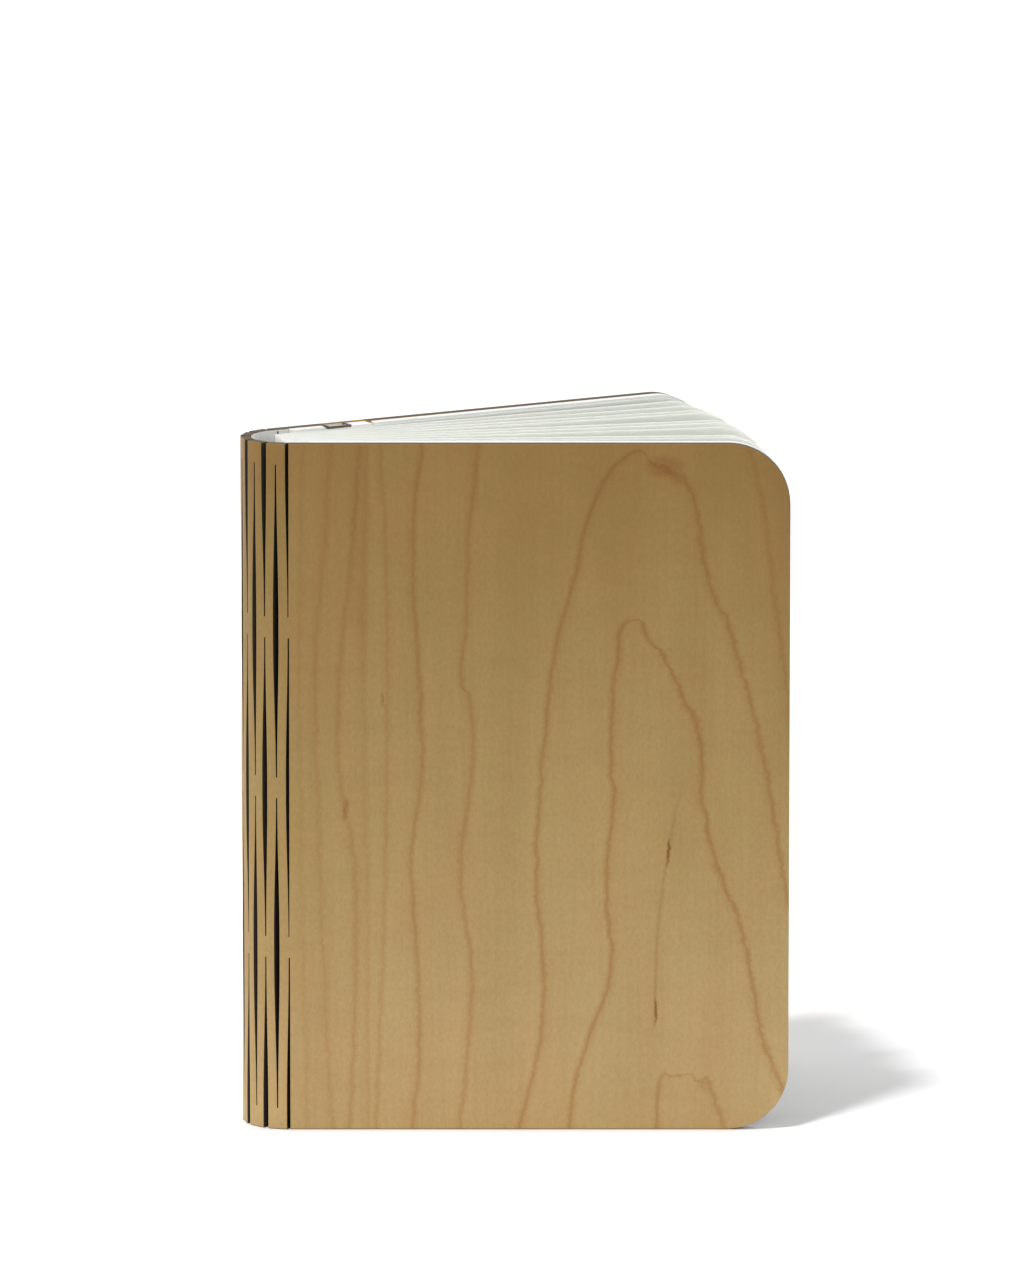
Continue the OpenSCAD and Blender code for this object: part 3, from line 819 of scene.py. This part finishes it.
def page_heights():
    """Heights up a page, close together where its corners are round."""
    a = np.linspace(0, math.pi / 2, 15)
    low = page_gap + page_corner * (1 - np.cos(a))
    middle = np.linspace(page_gap + page_corner, height - page_gap - page_corner, 12)[1:-1]
    return np.concatenate([low, middle, height - low[::-1]])


def page_reach(z):
    """How far a page reaches at each height, with a quarter circle at its two free corners."""
    into = np.clip(np.abs(z - height / 2) - (page_height / 2 - page_corner), 0, page_corner)
    return leaf_length - page_corner + np.sqrt(page_corner ** 2 - into ** 2)


def leaf(j):
    """Leaf j: one sheet folded at its outer edge. Its line is straight from one inner end, round half a
    circle, and straight back. The whole leaf leans in plan, by a share of one spine turn that grows
    smoothly towards its outer edge."""
    z = page_heights()
    reach = page_reach(z)
    rho = (leaf_fold - sheet_t) / 2
    mouth = (leaf_mouth - sheet_t) / 2
    run = np.linspace(0, 1, PAGE_COLUMNS)
    arc = np.linspace(math.pi / 2, -math.pi / 2, 9)[1:-1]
    straight = np.concatenate([run, np.ones(len(arc)), run[::-1]])
    beyond = np.concatenate([np.zeros(PAGE_COLUMNS), rho * np.cos(arc), np.zeros(PAGE_COLUMNS)])
    narrowing = mouth + (rho - mouth) * run
    side = np.concatenate([narrowing, rho * np.sin(arc), -narrowing[::-1]])
    x = straight[:, None] * (reach - leaf_fold / 2)[None, :] + beyond[:, None]
    ripple = leaf_ripple * np.sin(z[None, :] / (31 * MM) + 1.7 * j) * np.sin(x / (47 * MM) + 0.9 * j)
    ripple = ripple * (x / leaf_length)
    closed = np.stack([page_start + x, leaf_root(j)[1] + side[:, None] + ripple], -1)
    rigid = carried(j, closed)

    lean = leaf_lean[j - 1]
    root = carried(j, leaf_root(j))
    t_tip = 0.5 - math.sin(math.asin(1 - 2 * abs(lean)) / 3)  # where the smooth step is |lean|
    way = leaf_length / t_tip * leaf_way(j)
    share = smooth(((rigid - root) @ way) / (way @ way))
    line = bend_lines[j] if lean > 0 else bend_lines[j - 1]
    flat = line + turned(rigid - line, math.copysign(leaf_step, lean) * share)

    thing = finished(f"leaf_{j}", slab(f"leaf_{j}", upright(flat, z), sheet_t), page)
    if lean > 0:
        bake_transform(thing)
    else:
        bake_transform(thing)
    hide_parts(f"page_leaf_{j}")
    return thing


def inner_fold(k):
    """The inner fold between leaves k - 1 and k: a cubic curve that leaves both along their own directions."""
    before = leaf_mouth / 2 if k > 1 else 0
    after = leaf_mouth / 2 if k < LINES else 0
    a = carried(k - 1, leaf_root(k - 1) + np.array([0, before - sheet_t / 2]))
    b = carried(k, leaf_root(k) + np.array([0, sheet_t / 2 - after]))
    pull = fold_reach + sheet_t * 2 / 3
    pa, pb = [end - pull * leaf_way(j) for end, j in ((a, k - 1), (b, k))]
    s = np.linspace(0, 1, 15)[:, None]
    flat = (1 - s) ** 3 * a + 3 * (1 - s) ** 2 * s * pa + 3 * (1 - s) * s ** 2 * pb + s ** 3 * b
    z = np.linspace(page_gap, height - page_gap, 12)
    thing = finished(f"fold_{k}", slab(f"fold_{k}", upright(flat, z), sheet_t), page)
    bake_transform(thing)
    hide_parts(f"page_fold_{k}")
    return thing


def endpaper(node, j):
    """A flat page glued to a white board, from the inner fold to the free edge."""
    z = page_heights()
    x = np.linspace(0, 1, PAGE_COLUMNS)[:, None] * page_reach(z)[None, :]
    depth = leaf_root(j)[1] + (sheet_t / 2 if j else -sheet_t / 2)
    flat = carried(j, np.stack([page_start + x, np.full(x.shape, depth)], -1))
    thing = finished(node + "_piece", slab(node, upright(flat, z), sheet_t), page)
    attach(thing, unit_bodies[j])
    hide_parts(node)
    return thing


folds = [inner_fold(k) for k in range(1, LINES + 1)]
for j in range(1, LINES):
    leaf(j)
    2 * leaf_length
endpaper("front_endpaper", 0)
endpaper("back_endpaper", LINES)

# --- Lining and flat lead ------------------------------------------------------------------

def inside_strip(name, i, near, thick, low, high, material, slot):
    """A length of sheet that crosses bend line i inside the spine, from one unit's middle to the next one's.
    It keeps its distance from the board and turns about the line by a smooth step along the board."""
    x = np.linspace(step / 2, -step / 2, 11)
    share = smooth((step / 2 - x) / step)
    away = np.stack([x, np.full(len(x), near + thick / 2)], -1)
    flat = bend_lines[i - 1] + turned(away, -(i - 1 + share) * turn)
    middle = upright(flat, np.linspace(low, high, 9))
    thing = sided(name, middle, thick, material, inward=turned(np.array([0.0, 1.0]), -(i - 0.5) * turn))
    unit_bodies[i - 1]
    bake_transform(thing)
    return thing


def sided(name, middle, thick, material, inward):
    """A sheet that stores which of its vertices lie on the inner side."""
    mesh = slab(name, middle, thick)
    points = np.zeros(len(mesh.vertices) * 3)
    mesh.vertices.foreach_get("co", points)
    offset = points.reshape(2, -1, 3) - middle.reshape(-1, 3)[None]
    inner = ((offset[..., :2] @ inward) > 0).astype(float).ravel()
    board_attribute(mesh, np.stack([inner * 0, inner, inner * 0], -1))
    return finished(name, mesh, material)


def tuck(name, j, length, near, thick, low, high, material, slot):
    """A flat length of sheet that runs from the spine along a cover."""
    away = 1 if j == 0 else -1
    x = away * np.linspace(0, length, 5)
    flat = middles_rest[j] + turned(np.stack([x, np.full(5, near + thick / 2)], -1), -j * turn)
    middle = upright(flat, np.linspace(low, high, 9))
    thing = sided(name, middle, thick, material, inward=turned(np.array([0.0, 1.0]), -j * turn))
    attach(thing, unit_bodies[j])


lining_span = (0.15 * MM, height - 0.15 * MM)
lining = [
    inside_strip(f"lining_{i}", i, lining_near, sheet_t, *lining_span, lining_cloth, "lining")
    for i in range(1, LINES + 1)
]
for j in (0, LINES):
    tuck(f"lining_tuck_{j}", j, lining_tuck, lining_near, sheet_t, *lining_span, lining_cloth, "lining")
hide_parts("spine_lining")

lead_low, lead_high = (c.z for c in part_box("led_ribbon"))
lead = [
    inside_strip(f"lead_{i}", i, lead_near, lead_t, lead_low, lead_high, amber_film, "flat_lead")
    for i in range(6, LINES + 1)
]
tuck("lead_tail", LINES, lead_tail, lead_near, lead_t, lead_low, lead_high, amber_film, "flat_lead")
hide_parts("led_ribbon")

# --- Rigid pieces ----------------------------------------------------------------------------

def back_bar(name, path, width, z_low, z_high, material):
    """A bar on the back cover, of a width in millimetres, along path points in millimetres: distance from
    the slit, and depth from the outer face. Its corners are mitred: each point's normal is that of the two
    lengths beside it."""
    path = np.asarray(path, float)
    way = np.diff(path, axis=0)
    way /= np.linalg.norm(way, axis=1, keepdims=True)
    normal = np.stack([-way[:, 1], way[:, 0]], -1)
    before, after = np.vstack([normal[:1], normal]), np.vstack([normal, normal[-1:]])
    mitre = (before + after) / (1 + np.sum(before * after, -1, keepdims=True))
    one, other = path + mitre * width / 2, path - mitre * width / 2
    corners = ((one, z_low), (one, z_high), (other, z_high), (other, z_low))
    rings = np.stack([np.column_stack([side, np.full(len(path), z)]) for side, z in corners], 1)
    plan = np.stack([-rings[..., 0] * MM, rings[..., 1] * MM - board / 2], -1)
    flat = middles_rest[LINES] + turned(plan, -LINES * turn)
    thing = finished(name, rod(name, np.concatenate([flat, rings[..., 2:]], -1)), material)
    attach(thing, "back_cover")


# painted shade: a dark rim stands for the shadow line round the socket's pocket, and a thin dark line near the
# spine for the shadowed gap between the lining and the white board
socket_shade_path = [(18.9, 1.2), (18.9, 5.85), (26.2, 5.85), (26.2, 1.2)]
lining_shade_path = [(2.0, 3.5), (2.35, 3.5)]
back_bar("socket_rim", socket_shade_path, 0.6, height - 0.8 * MM, height - 0.08 * MM, rim_brown)
back_bar("lining_seam", lining_shade_path, 0.35, 2.0 * MM, height - 0.5 * MM, rim_brown)
for node, radius, material, slot, body in (
    ("front_board", 0.2, foam, "white_board", "front_cover"),
    ("back_board", 0.2, foam, "white_board", "back_cover"),
    ("control_tray", 0.15, white_plastic, "white_plastic", "back_cover"),
    ("charge_socket", 0.08, socket_steel, "socket_metal", "back_cover"),
    ("control_board", 0.06, circuit, "circuit_board", "back_cover"),
    ("control_chips", 0.1, chip_black, "chips", "back_cover"),
    ("led_board", 0.08, solder_white, "led_board", "rib_3"),
    ("leds", 0.12, phosphor, "led", "rib_3"),
):
    softened(node, radius * MM, material, body)

for node, material in (
    ("led_pads", foam_tape), ("battery", foil), ("battery_leads", red_cover), ("reed_switch", switch_glass),
    ("switch_magnet", nickel), ("front_magnets", nickel), ("back_magnets", nickel),
):
    mesh = frame["nodes"][node].data
    mesh.materials.clear()
    mesh.materials.append(material)

# --- Stage, light and camera --------------------------------------------------------------------

def floor_material():
    """A white floor. The camera sees it evenly bright, with the object's shadow, and a strip before the
    object a little brighter, so that it stays white up to the contact line. The object sees a pool of
    light that fades with the distance from it."""
    n = Finish("floor_white", Roughness=1.0, **{"Specular IOR Level": 0.0, "Emission Strength": 1.0})
    _, x, y, _ = n.place()
    dx, dy = x - 0.02, y + 0.05
    pool = n.range(n.math("SQRT", dx * dx + dy * dy), 0.08, 0.38, 0.88, 0.05)
    seen, seen_grey = n.shown(), 0.92
    grey = pool + (seen_grey - pool) * seen
    contact, strip_width, strip_glow = float(cad_low.y), 7 * MM, 0.19
    glow = seen * n.range(y, contact - strip_width, contact, strip_glow, 0.0)
    n.join(n.vector(grey, grey, grey), n.shader.inputs["Base Color"])
    n.join(n.vector(glow, glow, glow), n.shader.inputs["Emission Color"])
    return n.material


floor_mesh = bpy.data.meshes.new("floor")
half_floor, floor_z = 6.0, -0.2 * MM
floor_corners = [(sx * half_floor, sy * half_floor, floor_z) for sx, sy in ((-1, -1), (1, -1), (1, 1), (-1, 1))]
floor_mesh.from_pydata(floor_corners, [], [(0, 1, 2, 3)])
floor_mesh.materials.append(floor_material())
floor = bpy.data.objects.new("floor", floor_mesh)
bpy.context.scene.collection.objects.link(floor)

# a ring of soft light near the horizon, brighter behind the object, and little from overhead
studio = bpy.data.worlds.new("studio")
bpy.context.scene.world = studio
n = Nodes(studio)
direction = n.add("ShaderNodeTexCoord").outputs["Generated"]
split = n.add("ShaderNodeSeparateXYZ", values={0: direction})
back, up = Value(n, split.outputs["Y"]), Value(n, split.outputs["Z"])
ring = n.range(up, 0.60, 0.95, 1.0, 0.12)
level = ring * n.range(back, -0.3, 0.7, 0.68, 1.85)
level = level + (1.0 - level) * n.shown()
background = n.add("ShaderNodeBackground", values={"Color": n.vector(level, level, level), "Strength": 1.0})
n.add("ShaderNodeOutputWorld", values={"Surface": background.outputs[0]})

key = bpy.data.lights.new("key", "SUN")
key.energy = 1.8
key.angle = math.radians(6)
key_light = bpy.data.objects.new("key", key)
key_light.rotation_euler = Vector((-0.225, -0.31, 0.94)).to_track_quat("Z", "Y").to_euler()
bpy.context.scene.collection.objects.link(key_light)

# a far camera, before the front cover, that looks down a little
camera_across, camera_away, camera_height, camera_down = 68.67 * MM, 4.0, 932.9 * MM, 11.02
camera_data = bpy.data.cameras.new("camera")
camera_data.lens = 373.45
camera_data.sensor_width = 36
camera = bpy.data.objects.new("camera", camera_data)
camera.location = (first_slit[0] + camera_across, first_slit[1] - camera_away, camera_height)
camera.rotation_euler = (math.radians(90 - camera_down), 0, 0)
bpy.context.scene.collection.objects.link(camera)
bpy.context.scene.camera = camera
bpy.context.scene.view_settings.view_transform = "Standard"
